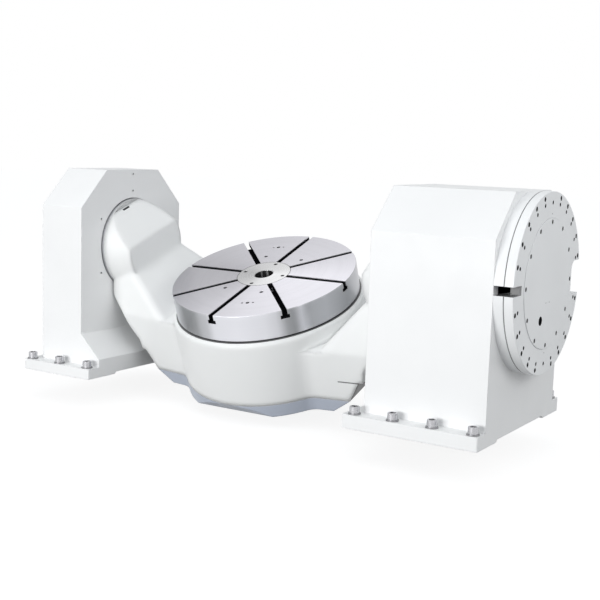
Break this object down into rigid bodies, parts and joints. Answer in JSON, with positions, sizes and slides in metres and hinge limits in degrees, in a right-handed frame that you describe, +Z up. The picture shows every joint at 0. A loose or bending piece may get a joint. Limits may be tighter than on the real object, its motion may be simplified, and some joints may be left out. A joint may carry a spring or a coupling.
{
  "type": "torque motor rotary table",
  "caption": "Two-axis tilting rotary table: a cradle with a round T-slot table swings between a tail support and a drive housing, both axes on direct-drive torque motors.",
  "frame": {"origin": "on the machine bed under the crossing of the tilt axis and the table's axis", "axes": "+X along the tilt axis from the tail support to the drive housing, -Y towards the operator, whom the tipped table faces, +Z up"},
  "size_m": [1.4195, 0.6049, 0.6128],
  "materials": {
    "housing_paint": "satin white paint on cast iron",
    "disc_paint": "satin pale grey",
    "cradle_paint": "satin white paint on cast iron",
    "lower_cover_paint": "satin grey-blue",
    "table_steel": "turned and ground",
    "centre_steel": "turned",
    "bolt_steel": "zinc-grey socket screws",
    "dark_screw": "blackened screws",
    "washer_steel": "plain washers",
    "machined_steel": "machined",
    "bearing_steel": "hardened and ground",
    "jacket_aluminium": "turned",
    "stator_iron": "laminated sheet",
    "winding_resin": "potted copper windings",
    "magnet": "nickel-plated",
    "clamp_steel": "ground",
    "seal_rubber": "black",
    "encoder_steel": "fine scale",
    "encoder_head": "dark anodised"
  },
  "bodies": {
    "frame": {"tail_housing": "housing_paint", "tail_base_bolts": "bolt_steel", "tail_base_washers": "washer_steel", "tail_bearing_outer_ring": "bearing_steel", "tail_bearing_retainer": "machined_steel", "tail_clamp_ring": "clamp_steel", "rotary_union": "machined_steel", "tail_outer_cover": "disc_paint", "tail_cover_screws": "dark_screw", "drive_housing": "housing_paint", "drive_base_bolts": "bolt_steel", "drive_base_washers": "washer_steel", "drive_end_ring": "disc_paint", "drive_end_flange": "disc_paint", "flange_outer_screws": "dark_screw", "flange_inner_screws": "dark_screw", "drive_rear_cover": "disc_paint", "drive_cover_screws": "dark_screw", "tilt_bearing_outer_ring": "bearing_steel", "tilt_bearing_retainer": "machined_steel", "tilt_cooling_jacket": "jacket_aluminium", "tilt_motor_stator": "stator_iron", "tilt_stator_windings": "winding_resin", "tilt_clamp_ring": "clamp_steel", "tilt_encoder_head": "encoder_head"},
    "cradle": {"cradle_casting": "cradle_paint", "cradle_bottom_cover": "lower_cover_paint", "bottom_cover_screws": "dark_screw", "tail_trunnion": "machined_steel", "tail_trunnion_bolts": "dark_screw", "tail_bearing_inner_ring": "bearing_steel", "tail_bearing_nut": "machined_steel", "drive_trunnion": "machined_steel", "drive_trunnion_bolts": "dark_screw", "tilt_bearing_inner_ring": "bearing_steel", "tilt_rotor_hub": "machined_steel", "tilt_rotor_magnets": "magnet", "tilt_encoder_ring": "encoder_steel", "table_bearing_outer_ring": "bearing_steel", "table_bearing_retainer": "machined_steel", "table_seal": "seal_rubber", "table_cooling_jacket": "jacket_aluminium", "table_motor_stator": "stator_iron", "table_stator_windings": "winding_resin", "table_clamp_ring": "clamp_steel", "table_encoder_head": "encoder_head"},
    "table": {"table_plate": "table_steel", "centre_plate": "centre_steel", "centre_plate_screws": "dark_screw", "table_screws": "dark_screw", "table_spindle": "machined_steel", "spindle_end_ring": "machined_steel", "table_bearing_inner_ring": "bearing_steel", "table_rotor_magnets": "magnet", "table_encoder_ring": "encoder_steel"},
    "tail_rollers": {"tail_bearing_rollers": "bearing_steel"},
    "tilt_rollers": {"tilt_bearing_rollers": "bearing_steel"},
    "table_rollers": {"table_bearing_rollers": "bearing_steel"}
  },
  "joints": [
    {"name": "cradle_tilt", "type": "hinge", "parent": "frame", "child": "cradle", "pos_m": [0, 0, 0.35], "axis": [1, 0, 0], "range_deg": [-130, 90]},
    {"name": "table_spin", "type": "hinge", "parent": "cradle", "child": "table", "pos_m": [0, 0, 0.35], "axis": [0, -0.3486, 0.9373], "continuous": true},
    {"name": "tail_roller_orbit", "type": "hinge", "parent": "frame", "child": "tail_rollers", "pos_m": [-0.486, 0, 0.35], "axis": [1, 0, 0], "range_deg": [-65, 45]},
    {"name": "tilt_roller_orbit", "type": "hinge", "parent": "frame", "child": "tilt_rollers", "pos_m": [0.4795, 0, 0.35], "axis": [1, 0, 0], "range_deg": [-65, 45]},
    {"name": "table_roller_orbit", "type": "hinge", "parent": "cradle", "child": "table_rollers", "pos_m": [0, 0, 0.35], "axis": [0, -0.3486, 0.9373], "continuous": true}
  ],
  "couplings": [
    {"joint": "tail_roller_orbit", "follows": "cradle_tilt", "ratio": 0.5},
    {"joint": "tilt_roller_orbit", "follows": "cradle_tilt", "ratio": 0.5},
    {"joint": "table_roller_orbit", "follows": "table_spin", "ratio": 0.5}
  ]
}
